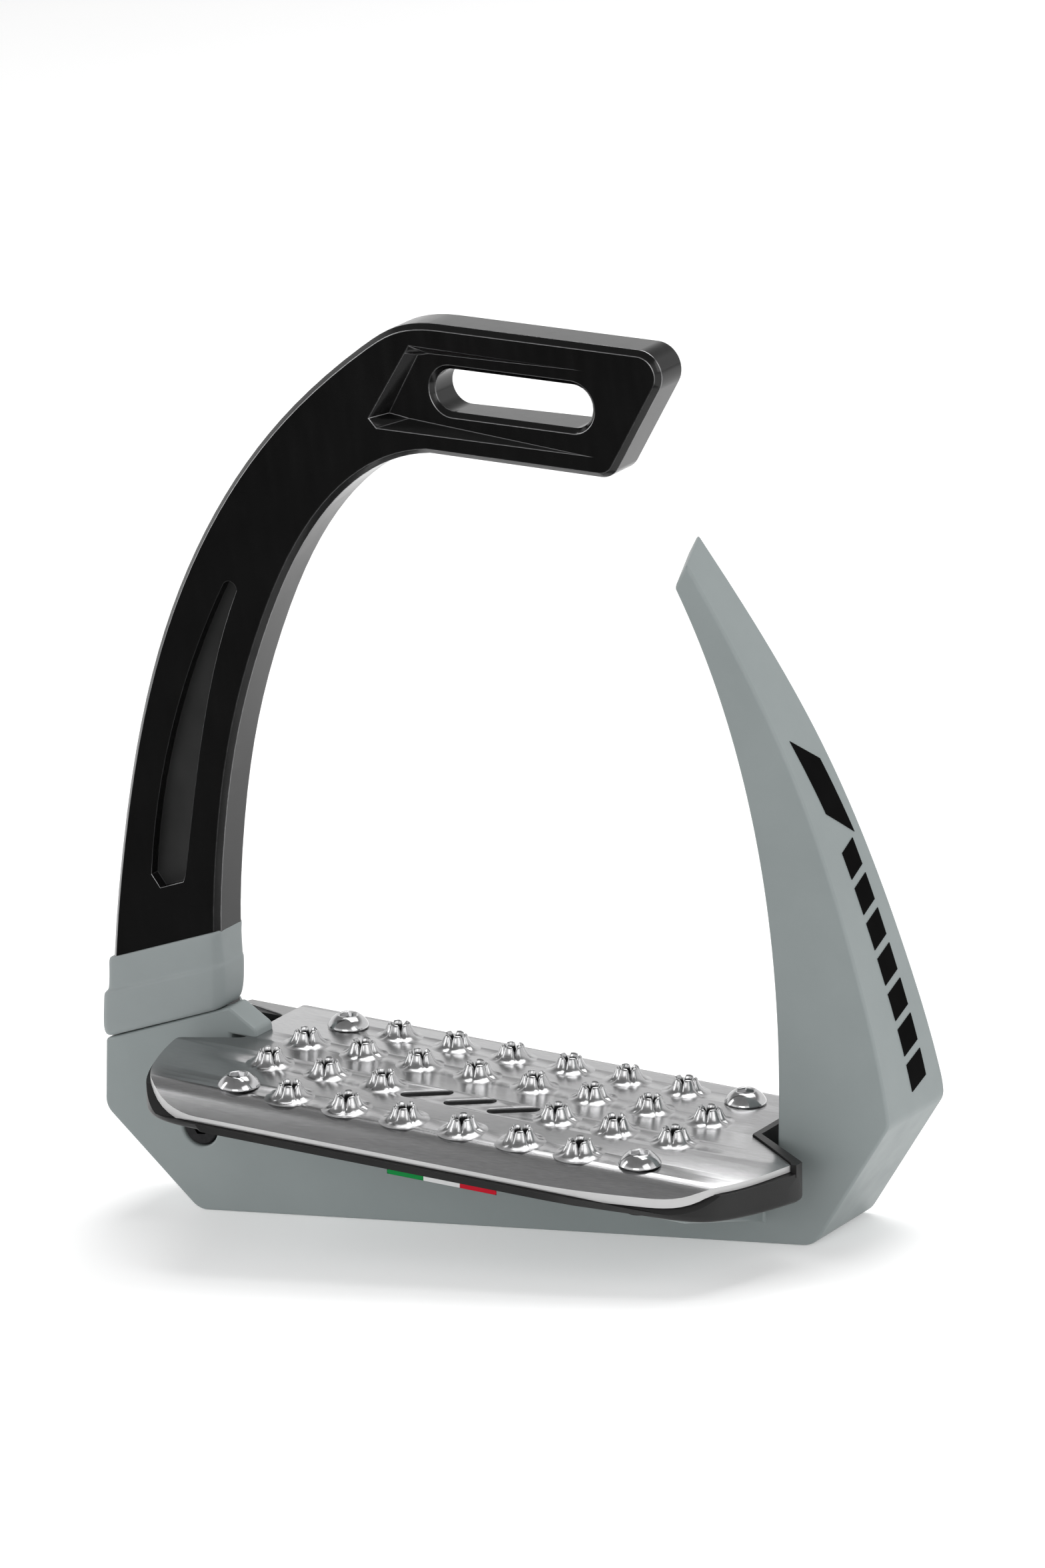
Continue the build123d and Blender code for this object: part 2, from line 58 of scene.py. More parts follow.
# The tread's frame: x along the tread, y to the back, z up from the top of the plate
TREAD_SLOPE = math.radians(7.3)
TREAD_X, TREAD_Z = 3.4, 27.0  # its origin in the shared frame
TREAD_FRAME = Matrix.Translation((TREAD_X, 0.0, TREAD_Z)) @ Matrix.Rotation(TREAD_SLOPE, 4, "Y")
CROWN_RADIUS = 360.0  # gentle curve of the sheet from front to back
PLATE_THICK = 1.2
LIP_START, LIP_EDGE = -22.0, -26.0  # the front lip turns down between these
PAD_BOTTOM = -7.0  # level in the tread's frame
TOOTH_PITCH_X, TOOTH_PITCH_Y = 12.0, 12.15
SCREW_LEFT, SCREW_RIGHT, SCREW_Y, SCREW_END = -40.9, 42.3, 18.25, -8.8  # the end is a level

# The grey moulding, seen from the front. A curve is its points, then its directions at both ends.
OUTSIDE = [(83.0, 22.7), (80.2, 50.0), (71.1, 88.7), (55.6, 123.5)], (-0.02, 1.0), (-0.46, 0.89)
INSIDE = [(52.6, 119.2), (60.6, 91.0), (63.3, 60.0), (59.6, 18.0)], (0.38, -0.93), (-0.17, -1.0)
LEAN_START = 26.0  # height where the back of the outer arm begins to lean forward
SEAT_LEFT = -53.4  # left end of the tread's seat, beside the neck
MOULDING_EDGE = 0.55  # width of its rounded edges
PIVOT_X, PIVOT_Z = -62.9, 16.0  # cross pin of the inner arm
STRIP_X, STRIP_Z = -11.9, 8.0  # middle of the groove for the coloured strips
STRIP_HALF, STRIP_HEIGHT = 11.55, 0.45  # half its length and half its height
BLEND_START, BLEND_END = Vector((60.0, 14.0, 24.0)), Vector((75.0, 14.0, 80.0))
BEND_LOOPS = 24  # loops across the outer arm between those two points


# Curves and outlines -----------------------------------------------------------------------------
def smooth_curve(points, start, end, steps):
    """Points along the cubic curve through the given ones, with set directions at its ends."""
    p = np.array(points, float)
    chord = np.linalg.norm(np.diff(p, axis=0), axis=1)
    n = len(p)
    a, b = np.zeros((n, n)), np.zeros(p.shape)
    for i in range(1, n - 1):
        before, after = chord[i - 1], chord[i]
        a[i, i - 1:i + 2] = after, 2 * (before + after), before
        b[i] = 3 * (after * (p[i] - p[i - 1]) / before + before * (p[i + 1] - p[i]) / after)
    for row, direction in ((0, start), (n - 1, end)):
        a[row, row], b[row] = 1.0, np.array(direction, float) / np.linalg.norm(direction)
    slope = np.linalg.solve(a, b)
    made = [tuple(p[0])]
    for i in range(n - 1):
        for k in range(1, steps + 1):
            t, h = k / steps, chord[i]
            made.append(tuple(
                (2 * t**3 - 3 * t**2 + 1) * p[i] + (t**3 - 2 * t**2 + t) * h * slope[i]
                + (3 * t**2 - 2 * t**3) * p[i + 1] + (t**3 - t**2) * h * slope[i + 1]))
    return made


def rounded(corners, steps=6):
    """An outline whose corners, given as (x, y, radius), are rounded by arcs."""
    made = []
    for i, (x, y, radius) in enumerate(corners):
        here = Vector((x, y))
        if radius == 0:
            made.append((x, y))
            continue
        before = (Vector(corners[i - 1][:2]) - here).normalized()
        after = (Vector(corners[(i + 1) % len(corners)][:2]) - here).normalized()
        half = before.angle(after) / 2
        centre = here + (before + after).normalized() * radius / math.sin(half)
        first = here + before * radius / math.tan(half) - centre
        last = here + after * radius / math.tan(half) - centre
        whole = first.angle(last)
        for k in range(steps + 1):
            turn = whole * k / steps
            swept = first * math.sin(whole - turn) + last * math.sin(turn)
            made.append(tuple(centre + swept / math.sin(whole)))
    return made


# Meshes ------------------------------------------------------------------------------------------
def as_piece(name, bm, matrix=None):
    """An object from a mesh in millimetres. The mesh is moved by matrix first, and then scaled."""
    bmesh.ops.recalc_face_normals(bm, faces=bm.faces)
    mesh = bpy.data.meshes.new(name)
    bm.to_mesh(mesh)
    bm.free()
    mesh.transform(Matrix.Scale(MM, 4) @ (matrix or Matrix.Identity(4)))
    made = bpy.data.objects.new(name, mesh)
    bpy.context.scene.collection.objects.link(made)
    return made


def prism(outline, low, high, place):
    """A closed solid between two levels. place turns (u, v, level) into a point."""
    bm = bmesh.new()
    rings = [[bm.verts.new(place(u, v, level)) for u, v in outline] for level in (low, high)]
    bm.faces.new(rings[0])
    bm.faces.new(rings[1])
    for i in range(len(outline)):
        k = (i + 1) % len(outline)
        bm.faces.new((rings[0][i], rings[0][k], rings[1][k], rings[1][i]))
    return bm


def joined(bm, part):
    """Adds one mesh in the making to another. The part is used up."""
    mesh = bpy.data.meshes.new("part")
    part.to_mesh(mesh)
    part.free()
    bm.from_mesh(mesh)
    bpy.data.meshes.remove(mesh)


def front_view(u, v, level):
    return Vector((u, level, v))


def side_view(u, v, level):
    return Vector((level, u, v))


def plan_view(u, v, level):
    return Vector((u, v, level))


def circle(centre, radius, count=48):
    turns = [math.tau * i / count for i in range(count)]
    return [(centre[0] + radius * math.cos(t), centre[1] + radius * math.sin(t)) for t in turns]


def apply_modifiers(piece):
    bpy.context.view_layer.update()
    graph = bpy.context.evaluated_depsgraph_get()
    mesh = bpy.data.meshes.new_from_object(piece.evaluated_get(graph))
    piece.modifiers.clear()
    piece.data = mesh


def combine(piece, tool, operation):
    """Joins, cuts or intersects the piece with a tool, which is used up."""
    modifier = piece.modifiers.new("combine", "BOOLEAN")
    modifier.object, modifier.operation, modifier.solver = tool, operation, "EXACT"
    apply_modifiers(piece)
    bpy.data.objects.remove(tool)


def cleaned(piece, merge=0.002, flat=0.4):
    """Merges stray points, in millimetres, and joins faces that lie in one plane, in degrees."""
    bm = bmesh.new()
    bm.from_mesh(piece.data)
    bmesh.ops.remove_doubles(bm, verts=bm.verts, dist=merge * MM)
    bmesh.ops.dissolve_limit(bm, angle_limit=math.radians(flat), verts=bm.verts, edges=bm.edges)
    bm.to_mesh(piece.data)
    bm.free()
    return piece


def bevelled(piece, width, segments=3, angle=28, clamp=True, wanted=lambda middle: True, material=-1):
    """Rounds the edges that are sharper than angle, by width in millimetres, where wanted says so."""
    bm = bmesh.new()
    bm.from_mesh(piece.data)
    edges = [e for e in bm.edges if len(e.link_faces) == 2 and e.calc_face_angle(0.0) > math.radians(angle)
             and wanted((e.verts[0].co + e.verts[1].co) / (2 * MM))]
    bmesh.ops.bevel(bm, geom=edges, offset=width * MM, segments=segments, profile=0.5, affect="EDGES",
                    clamp_overlap=clamp, material=material)
    bm.to_mesh(piece.data)
    bm.free()
    return piece


def shaded(piece, angle=32):
    """Smooth shading with sharp edges kept where faces meet at more than angle."""
    mesh = piece.data
    mesh.shade_smooth()
    bm = bmesh.new()
    bm.from_mesh(mesh)
    for edge in bm.edges:
        edge.smooth = len(edge.link_faces) == 2 and edge.calc_face_angle(0.0) < math.radians(angle)
    bm.to_mesh(mesh)
    bm.free()
    return piece


def keep_faces_flat(piece):
    """Flat faces are shaded flat beside their rounded edges."""
    modifier = piece.modifiers.new("normals", "WEIGHTED_NORMAL")
    modifier.keep_sharp = True
    apply_modifiers(piece)


def node_copy(node, name):
    """A new piece with the shape of a CAD node, its flat faces joined."""
    made = bpy.data.objects.new(name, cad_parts[node].data.copy())
    bpy.context.scene.collection.objects.link(made)
    made.data.materials.clear()
    return cleaned(made)


def keep_rest_place(piece):
    """Stores where each point lies at rest, so that a pattern stays on a piece that bends."""
    attribute = piece.data.attributes.new("rest", "FLOAT_VECTOR", "POINT")
    co = np.zeros(3 * len(piece.data.vertices), np.float32)
    piece.data.vertices.foreach_get("co", co)
    attribute.data.foreach_set("vector", co)


# Materials ---------------------------------------------------------------------------------------
class Paint:
    """One procedural material, built node by node."""

    def __init__(self, name, **sockets):
        self.material = bpy.data.materials.new(name)
        self.material.use_nodes = True
        self.tree = self.material.node_tree
        self.shader = self.tree.nodes["Principled BSDF"]
        for socket, value in sockets.items():
            self.shader.inputs[socket.replace("_", " ")].default_value = value
        self.place = self.node("ShaderNodeAttribute", attribute_name="rest").outputs["Vector"]

    def node(self, kind, **values):
        made = self.tree.nodes.new(kind)
        for name, value in values.items():
            setattr(made, name, value)
        return made

    def link(self, source, target):
        self.tree.links.new(source, target)

    def noise(self, scale, detail=3.0, stretch=(1.0, 1.0, 1.0), turn=0.0):
        """Noise with its scale per metre. A small number in stretch draws it out along that axis."""
        mapping = self.node("ShaderNodeMapping")
        mapping.inputs["Scale"].default_value = stretch
        mapping.inputs["Rotation"].default_value = (0.0, turn, 0.0)
        self.link(self.place, mapping.inputs["Vector"])
        noise = self.node("ShaderNodeTexNoise")
        noise.inputs["Scale"].default_value = scale
        noise.inputs["Detail"].default_value = detail
        self.link(mapping.outputs["Vector"], noise.inputs["Vector"])
        return noise.outputs["Fac"]

    def ranged(self, value, low, high, start=0.3, end=0.7):
        """Maps the middle of a noise, from start to end, to the range from low to high."""
        made = self.node("ShaderNodeMapRange")
        for socket, number in zip(("From Min", "From Max", "To Min", "To Max"), (start, end, low, high)):
            made.inputs[socket].default_value = number
        self.link(value, made.inputs["Value"])
        return made.outputs["Result"]

    def tint(self, value, dark, light):
        """Colour that wanders between two shades."""
        made = self.node("ShaderNodeMix", data_type="RGBA")
        self.link(value, made.inputs["Factor"])
        made.inputs["A"].default_value = (*dark, 1.0)
        made.inputs["B"].default_value = (*light, 1.0)
        self.link(made.outputs["Result"], self.shader.inputs["Base Color"])

    def roughness(self, value):
        self.link(value, self.shader.inputs["Roughness"])

    def bump(self, *layers):
        """Stacked bumps, each (height, depth in metres)."""
        normal = None
        for height, depth in layers:
            made = self.node("ShaderNodeBump")
            made.inputs["Distance"].default_value = depth
            self.link(height, made.inputs["Height"])
            if normal is not None:
                self.link(normal, made.inputs["Normal"])
            normal = made.outputs["Normal"]
        self.link(normal, self.shader.inputs["Normal"])


def moulded(name, dark, light, rough, grain, depth, level=0.5):
    """Moulded plastic or rubber: a fine grain, slight colour drift and uneven gloss."""
    paint = Paint(name, Specular_IOR_Level=level)
    paint.tint(paint.ranged(paint.noise(60.0, 4.0), 0.0, 1.0), dark, light)
    fine, broad = paint.noise(grain, 2.0), paint.noise(180.0, 3.0)
    paint.roughness(paint.ranged(broad, rough - 0.05, rough + 0.05))
    paint.bump((fine, depth), (broad, 3.0 * depth))
    return paint.material


def gloss_black(name, dark, light, rough, level):
    """Black anodised and lacquered aluminium, with faint polishing marks."""
    paint = Paint(name, IOR=1.45, Specular_IOR_Level=level)
    paint.tint(paint.ranged(paint.noise(90.0, 3.0), 0.0, 1.0), (dark,) * 3, (light,) * 3)
    marks = paint.noise(500.0, 3.0, (1.0, 1.0, 0.15))
    paint.roughness(paint.ranged(marks, rough, rough + 0.08))
    paint.bump((paint.noise(1800.0, 2.0), 0.0000012))
    return paint.material


def brushed_steel():
    """Stainless sheet, brushed along the tread."""
    paint = Paint("brushed_steel", Metallic=1.0, Anisotropic=0.3)
    streaks = paint.noise(5200.0, 2.0, (0.03, 1.0, 1.0), TREAD_SLOPE)
    broad = paint.noise(1500.0, 2.0, (0.03, 1.0, 1.0), TREAD_SLOPE)
    paint.tint(paint.ranged(streaks, 0.0, 1.0), (0.415, 0.415, 0.419), (0.485, 0.485, 0.489))
    paint.roughness(paint.ranged(broad, 0.24, 0.26))
    paint.bump((streaks, 0.0000002))
    return paint.material


def metal(name, dark, light, rough, grain=900.0):
    """Turned or plated metal."""
    paint = Paint(name, Metallic=1.0)
    paint.tint(paint.ranged(paint.noise(grain, 3.0), 0.0, 1.0), dark, light)
    paint.roughness(paint.ranged(paint.noise(grain / 2, 3.0), rough - 0.03, rough + 0.05))
    paint.bump((paint.noise(2.0 * grain, 2.0), 0.0000015))
    return paint.material


GREY = moulded("grey_polymer", (0.205, 0.232, 0.232), (0.218, 0.246, 0.246), 0.42, 5200.0, 0.000012)
BOOT_GREY = moulded("grey_elastomer", (0.208, 0.232, 0.233), (0.223, 0.249, 0.250), 0.52, 4200.0, 0.000014)
RUBBER = moulded("black_rubber", (0.009, 0.009, 0.009), (0.014, 0.014, 0.014), 0.42, 3200.0, 0.000014, 0.3)
PRINT = moulded("black_print", (0.002, 0.002, 0.002), (0.004, 0.004, 0.004), 0.6, 3000.0, 0.000003, 0.01)
NYLON = moulded("white_nylon", (0.62, 0.61, 0.57), (0.70, 0.69, 0.65), 0.45, 2600.0, 0.000008)
GREEN = moulded("strip_green_paint", (0.001, 0.235, 0.045), (0.002, 0.260, 0.055), 0.35, 3000.0,
                0.000004, 0.15)
WHITE = moulded("strip_white_paint", (0.74, 0.74, 0.74), (0.80, 0.80, 0.80), 0.35, 3000.0, 0.000004)
RED = moulded("strip_red_paint", (0.56, 0.004, 0.020), (0.62, 0.006, 0.026), 0.35, 3000.0, 0.000004, 0.15)
BLACK = gloss_black("black_anodised", 0.0016, 0.0028, 0.11, 0.45)
BLACK_SATIN = gloss_black("black_satin", 0.010, 0.016, 0.40, 0.5)
# a paler metal for the inner arm's bevelled edges: a painted highlight that draws bright lines along them
EDGE_HIGHLIGHT_METAL = metal("edge_painted_highlight", (0.16, 0.16, 0.162), (0.24, 0.24, 0.242), 0.20)
PLATE = brushed_steel()
DULL_STEEL = metal("dull_steel", (0.34, 0.34, 0.34), (0.38, 0.38, 0.38), 0.34)
# a pale, non-metal paint for the sheet's cut edge: a painted highlight, so that it shows bright where steel
# would mirror the dark pad
CUT_EDGE_HIGHLIGHT = moulded("cut_edge_painted_highlight", (0.46, 0.46, 0.46), (0.52, 0.52, 0.52), 0.35, 3000.0, 0.000002)
CHROME = metal("polished_steel", (0.50, 0.50, 0.505), (0.57, 0.57, 0.575), 0.12)
# black steel for the cross pin and its nut; on the threaded inserts it serves as painted shade
BLACK_STEEL_AND_SHADE = metal("black_steel", (0.020, 0.020, 0.021), (0.030, 0.030, 0.031), 0.38)
BRONZE = metal("bronze", (0.42, 0.26, 0.11), (0.50, 0.32, 0.15), 0.30)


def finished(piece, material, body=None, replaced=(), others=()):
    """Gives a piece its materials and its body, and hides the CAD nodes that it stands for."""
    mesh = piece.data
    numbers = [face.material_index for face in mesh.polygons]
    mesh.materials.clear()
    for one in (material, *others):
        mesh.materials.append(one)
    mesh.polygons.foreach_set("material_index", numbers)
    keep_rest_place(piece)
    if body:
        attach(piece, body)
    if replaced:
        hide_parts(*replaced)


# Grey moulding: base, neck and flexible outer arm in one skin ------------------------------------
def tread_z(x, level):
    """Height in the shared frame of a level of the tread, at a place along the shared X."""
    return TREAD_Z + level / math.cos(TREAD_SLOPE) - math.tan(TREAD_SLOPE) * (x - TREAD_X)


def grey_moulding():
    outside, inside = smooth_curve(*OUTSIDE, 14), smooth_curve(*INSIDE, 14)
    # the rounded corner starts on the curve of the outer face
    corner = rounded([(64.6, 0.0, 0.0), (*outside[0], 3.5), (*outside[4], 0.0)])[1:-1]
    outline = rounded(
        [(-81.0, 31.9, 0.0), (-83.18, 18.9, 3.5), (-65.6, 0.0, 4.0), (64.6, 0.0, 5.0)]
        + [(x, z, 0.0) for x, z in corner + outside[1:]]
        + [(52.5, 129.5, 0.0), (49.2, 127.5, 0.0)]
        + [(x, z, 0.0) for x, z in inside]
        + [(x, tread_z(x, PAD_BOTTOM), 0.0) for x in (inside[-1][0], SEAT_LEFT)]
        + [(SEAT_LEFT, 33.9, 0.0), (-47.9, 33.1, 0.0), (-47.9, 34.9, 0.0), (-53.0, 38.9, 0.0)])
    skin = as_piece("grey_moulding", prism(outline, FRONT_Y, BACK_Y, front_view))

    # the back leans forward up the outer arm, and a slanted cut ends it
    rise, lean = outside[-1][1] - LEAN_START, BAR_BACK - BACK_Y
    past = 1.3  # the cut's rise as a share of the arm's, so that it ends above the tip
    behind_arm = [(BACK_Y, LEAN_START), (BACK_Y + past * lean, LEAN_START + past * rise), (FAR, FAR),
                  (FAR, LEAN_START)]
    combine(skin, as_piece("behind_arm", prism(behind_arm, 30.0, FAR, side_view)), "DIFFERENCE")
    tip_normal, reach = Vector((-0.753, -0.395, 0.526)), 25.0
    tip_turn = tip_normal.to_track_quat("Z", "Y").to_matrix().to_4x4()
    tip_frame = Matrix.Translation((inside[0][0], FRONT_Y, inside[0][1])) @ tip_turn
    square = [(-reach, -reach), (reach, -reach), (reach, reach), (-reach, reach)]
    combine(skin, as_piece("tip_cut", prism(square, 0.0, reach, plan_view), tip_frame), "DIFFERENCE")

    # the neck thins towards the boot, and the ramp beside it is cut away at the back
    behind_neck = [(20.2, PAD_BOTTOM), (14.6, 1.0), (14.6, FAR), (FAR, FAR), (FAR, PAD_BOTTOM)]
    tool = as_piece("behind_neck", prism(behind_neck, -FAR, -40.0, side_view), TREAD_FRAME)
    combine(skin, tool, "DIFFERENCE")
    behind_ramp = [(-57.0, 37.4), (SEAT_LEFT, 33.8), (SEAT_LEFT, 29.0), (-43.4, 29.0), (-43.4, FAR),
                   (-57.0, FAR)]
    combine(skin, as_piece("behind_ramp", prism(behind_ramp, 10.1, FAR, front_view)), "DIFFERENCE")
    # a wedge-shaped bracket carries the front half of the pad
    bracket = [(BACK_Y - 1.2, PAD_BOTTOM), (-22.4, PAD_BOTTOM), (-22.4, -8.0), (6.2, -16.7),
               (BACK_Y - 1.2, -16.7)]
    combine(skin, as_piece("bracket", prism(bracket, -50.0, 54.0, side_view), TREAD_FRAME), "UNION")

    # the pin's bore, the recess of its head and the seat of its nut, as (radius, low, high, corners)
    for radius, low, high, count in (
        (2.5, FRONT_Y - 1.0, BACK_Y + 1.0, 32),
        (3.75, FRONT_Y - 1.0, FRONT_Y + 1.8, 48),
        (4.45, BACK_Y - 4.0, BACK_Y + 1.0, 6),
    ):
        hole = prism(circle((PIVOT_X, PIVOT_Z), radius, count), low, high, front_view)
        combine(skin, as_piece("hole", hole), "DIFFERENCE")
    # the socket narrows above the buffers. The boot hides its mouth from the front, but not wholly from behind
    eye_room = [(-74.2, 28.0), (-71.2, 16.0), (-69.2, 10.4), (-62.9, 7.7), (-56.6, 10.4), (-54.6, 16.0),
                (-54.5, 28.0)]
    mouth = [(-78.2, 44.0), (-74.1, 27.6), (-54.5, 27.6), (-54.4, 50.0)]
    for socket, front, back in ((eye_room, 6.8, 13.6), (mouth, 7.8, 12.6)):
        combine(skin, as_piece("socket", prism(socket, front, back, front_view)), "DIFFERENCE")
    groove = [(-STRIP_HALF, -STRIP_HEIGHT), (STRIP_HALF, -STRIP_HEIGHT), (STRIP_HALF, STRIP_HEIGHT),
              (-STRIP_HALF, STRIP_HEIGHT)]
    strip_frame = Matrix.Translation((STRIP_X, 0.0, STRIP_Z)) @ Matrix.Rotation(TREAD_SLOPE, 4, "Y")
    tool = as_piece("groove", prism(groove, FRONT_Y - 1.0, FRONT_Y + 0.8, front_view), strip_frame)
    combine(skin, tool, "DIFFERENCE")

    # every edge is rounded but those of the groove, which stay sharp
    strip, sharp_within = Vector((STRIP_X, FRONT_Y, STRIP_Z)), 13.0
    bevelled(cleaned(skin), MOULDING_EDGE, 3, 26, False,
             lambda middle: (middle - strip).length > sharp_within)

    # loops cut across the arm, from a little below the bend to a little above it
    bm = bmesh.new()
    bm.from_mesh(skin.data)
    along = (BLEND_END - BLEND_START).normalized()
    for k in range(-2, BEND_LOOPS + 5):
        place = BLEND_START + along * (BLEND_END - BLEND_START).length * k / BEND_LOOPS
        bmesh.ops.bisect_plane(
            bm, geom=bm.verts[:] + bm.edges[:] + bm.faces[:], plane_co=place * MM, plane_no=along, dist=1e-7)
    bm.to_mesh(skin.data)
    bm.free()
    keep_faces_flat(shaded(skin, 34))
    finished(skin, GREY, None, ("base_frame", "outer_arm"))
    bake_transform(skin)


grey_moulding()


# Printed marks on the outside of the outer arm: plain slanted dashes -----------------------------
def arm_marks():
    """Thin printed dashes that follow the curve of the arm's outer face."""
    face = smooth_curve(*OUTSIDE, 60)
    length = np.concatenate([[0.0], np.cumsum([math.dist(a, b) for a, b in zip(face, face[1:])])])
    xs, zs = [p[0] for p in face], [p[1] for p in face]

    def on_face(s, y, proud):
        """The point at s along the face from its foot, standing proud of it."""
        x, z = np.interp(s, length, xs), np.interp(s, length, zs)
        ahead = (np.interp(s + 0.5, length, xs) - x, np.interp(s + 0.5, length, zs) - z)
        size = math.hypot(*ahead)
        return Vector((x + proud * ahead[1] / size, y, z - proud * ahead[0] / size))

    bm = bmesh.new()
    proud, depth, steps = 0.12, 0.3, 10
    # each mark's start along the face, length, width and slant, then its y at the foot of the arm
    # and how far forward it drifts per millimetre along the face
    dashes = [(4.5 + 6.6 * k, 5.0, 5.4 - 0.12 * k, 1.6, 16.4, 0.075) for k in range(7)]
    dashes.append((53.2, 14.3, 5.7, -5.1, 21.0, 0.152))
    for low, long, wide, slant, foot, drift in dashes:
        rows = []
        for i in range(steps + 1):
            for side in (-1, 1):
                s = low + long * i / steps + slant * side / 2
                y = foot - drift * s + side * wide / 2
                rows.append([bm.verts.new(on_face(s, y, h)) for h in (proud, -depth)])
        for i in range(steps):
            a, b, d, c = rows[2 * i:2 * i + 4]
            for level in (0, 1):
                bm.faces.new((a[level], b[level], c[level], d[level]))
            bm.faces.new((a[0], d[0], d[1], a[1]))
            bm.faces.new((b[0], c[0], c[1], b[1]))
        for a, b in ((rows[0], rows[1]), (rows[-2], rows[-1])):
            bm.faces.new((a[0], b[0], b[1], a[1]))
    marks = shaded(as_piece("arm_marks", bm))
    finished(marks, PRINT)
    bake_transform(marks)


arm_marks()


# Elastomer boot round the foot of the inner arm --------------------------------------------------
def boot():
    """Rings of rounded rectangles from the groove up to the lip, closed inside the arm."""
    # left x, left z, right x, right z, front y, back y, corner radius
    rings = [
        (-79.6, 32.4, -55.4, 38.3, 4.6, 10.8, 1.2),
        (-80.9, 32.2, -54.9, 38.6, 3.9, 11.5, 1.8),
        (-81.5, 32.9, -54.3, 39.5, 3.4, 12.3, 2.2),
        (-81.5, 34.6, -53.9, 41.2, 3.3, 12.8, 2.3),
        (-80.9, 37.8, -53.5, 44.0, 3.3, 13.0, 2.3),
        (-80.5, 39.9, -53.3, 46.0, 3.3, 13.1, 2.3),
        (-80.3, 40.5, -53.3, 46.6, 3.35, 13.1, 2.2),
        (-79.6, 41.0, -53.4, 47.0, 3.75, 12.95, 2.1),
        (-79.4, 41.5, -53.4, 47.5, 3.86, 12.95, 2.0),
        (-78.7, 44.8, -53.3, 50.8, 3.80, 13.1, 1.9),
        (-78.5, 46.2, -53.1, 52.3, 3.72, 13.2, 1.8),
        (-78.2, 47.1, -53.0, 53.1, 3.80, 13.2, 1.7),
        (-77.9, 47.35, -53.4, 53.3, 4.15, 12.9, 1.4),
        (-76.6, 47.2, -54.8, 52.7, 5.2, 11.8, 1.0),
    ]
    bm = bmesh.new()
    made = []
    for left, left_z, right, right_z, front, back, radius in rings:
        wide = math.hypot(right - left, right_z - left_z)
        corners = ((0.0, front), (wide, front), (wide, back), (0.0, back))
        section = rounded([(u, y, radius) for u, y in corners], 7)
        turn = ((right - left) / wide, (right_z - left_z) / wide)
        made.append([bm.verts.new((left + u * turn[0], y, left_z + u * turn[1])) for u, y in section])
    for low, high in zip(made, made[1:]):
        for i in range(len(low)):
            k = (i + 1) % len(low)
            bm.faces.new((low[i], low[k], high[k], high[i]))
    bm.faces.new(made[0])
    bm.faces.new(made[-1])
    cuff = as_piece("arm_boot", bm)
    cuff.modifiers.new("smooth", "SUBSURF").levels = 2
    apply_modifiers(cuff)
    shaded(cuff, 70)
    finished(cuff, BOOT_GREY, None, ("arm_cuff",))
    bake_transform(cuff)


boot()


# Inner arm ---------------------------------------------------------------------------------------
def hook():
    """The bevelled edges get a paler metal, a painted highlight that draws bright lines along them, and the
    long pocket's floor is satin.
    """
    piece = node_copy("inner_arm", "hook_arm")
    pocket_floor, pocket_top = FRONT_Y + 2.0, 120.0
    # the bevels take the second material, the paler metal that paints highlight lines along the edges
    bevelled(piece, 0.22, 2, 20, material=1)
    keep_faces_flat(shaded(piece, 40))
    for face in piece.data.polygons:
        if abs(face.center.y / MM - pocket_floor) < 0.05 and face.center.z < pocket_top * MM:
            face.material_index = 2
    finished(piece, BLACK, "hook", ("inner_arm",), (EDGE_HIGHLIGHT_METAL, BLACK_SATIN))


hook()


# Tread plate with its punched crowns -------------------------------------------------------------
def crown(y):
    """How far the sheet lies below its middle, as a negative height."""
    return math.sqrt(CROWN_RADIUS**2 - y**2) - CROWN_RADIUS


def sheet_section():
    """The bent sheet's section, as (y, z): along the top to the lip, then back underneath."""
    back, bend = 25.5, 5.0  # its back edge, and the radius of the bend above the lip
    cut, lip_turn = 0.7, math.radians(45)  # height of the lip's cut edge, and the lip's slope
    bend_start = LIP_START + bend * math.tan(lip_turn / 2)
    middle = (bend_start, crown(bend_start) - bend)
    top = [(y, crown(y)) for y in (back + (bend_start - back) * k / 30 for k in range(31))]
    under = [(y, z - PLATE_THICK) for y, z in top]
    for k in range(1, 9):
        turn = lip_turn * k / 8
        top.append((middle[0] - bend * math.sin(turn), middle[1] + bend * math.cos(turn)))
        thin = bend - PLATE_THICK
        under.append((middle[0] - thin * math.sin(turn), middle[1] + thin * math.cos(turn)))
    fall = top[-1][0] - LIP_EDGE
    tip = (LIP_EDGE, top[-1][1] - fall)
    top += [tip, (LIP_EDGE, tip[1] - cut)]
    across = PLATE_THICK * math.sqrt(2) - cut
    under.append((LIP_EDGE + across / 2, tip[1] - cut - across / 2))
    return top + under[::-1]


def plate_outline():
    """The sheet seen from above, from its back right corner round to the notch at the outer arm."""
    left = smooth_curve(
        [(-63.8, -4.4), (-61.0, -14.8), (-57.3, -21.6), (-45.0, LIP_EDGE)], (0.2, -1), (1, 0), 8)
    right = smooth_curve(
        [(24.0, LIP_EDGE), (46.0, -25.1), (58.4, -22.0), (62.8, -16.0), (65.9, -6.6)], (1, 0), (0.3, 1), 8)
    corners = [(52.4, 25.4, 0.6), (-55.0, 25.4, 0.6), (SEAT_LEFT, 3.0, 2.0), (-64.1, -2.7, 1.2)]
    corners += [(x, y, 0.0) for x, y in left + right]
    corners += [(65.2, -5.9, 0.0), (52.4, 3.0, 1.2)]
    return rounded(corners, 5)


def tooth_places():
    """Four rows. Each is given by its place in pitches and by the x of its end teeth."""
    rows = {1.5: 30, 0.5: 42, -0.5: 42, -1.5: 30}
    slot_row, gap = -0.5, 12.5  # the row with the slots has no teeth this near the middle
    places = []
    for row, end in rows.items():
        for column in range(-4, 4):
            x = TOOTH_PITCH_X * (column + 0.5)
            if abs(x) <= end and not (row == slot_row and abs(x) < gap):
                places.append((x, TOOTH_PITCH_Y * row))
    return places


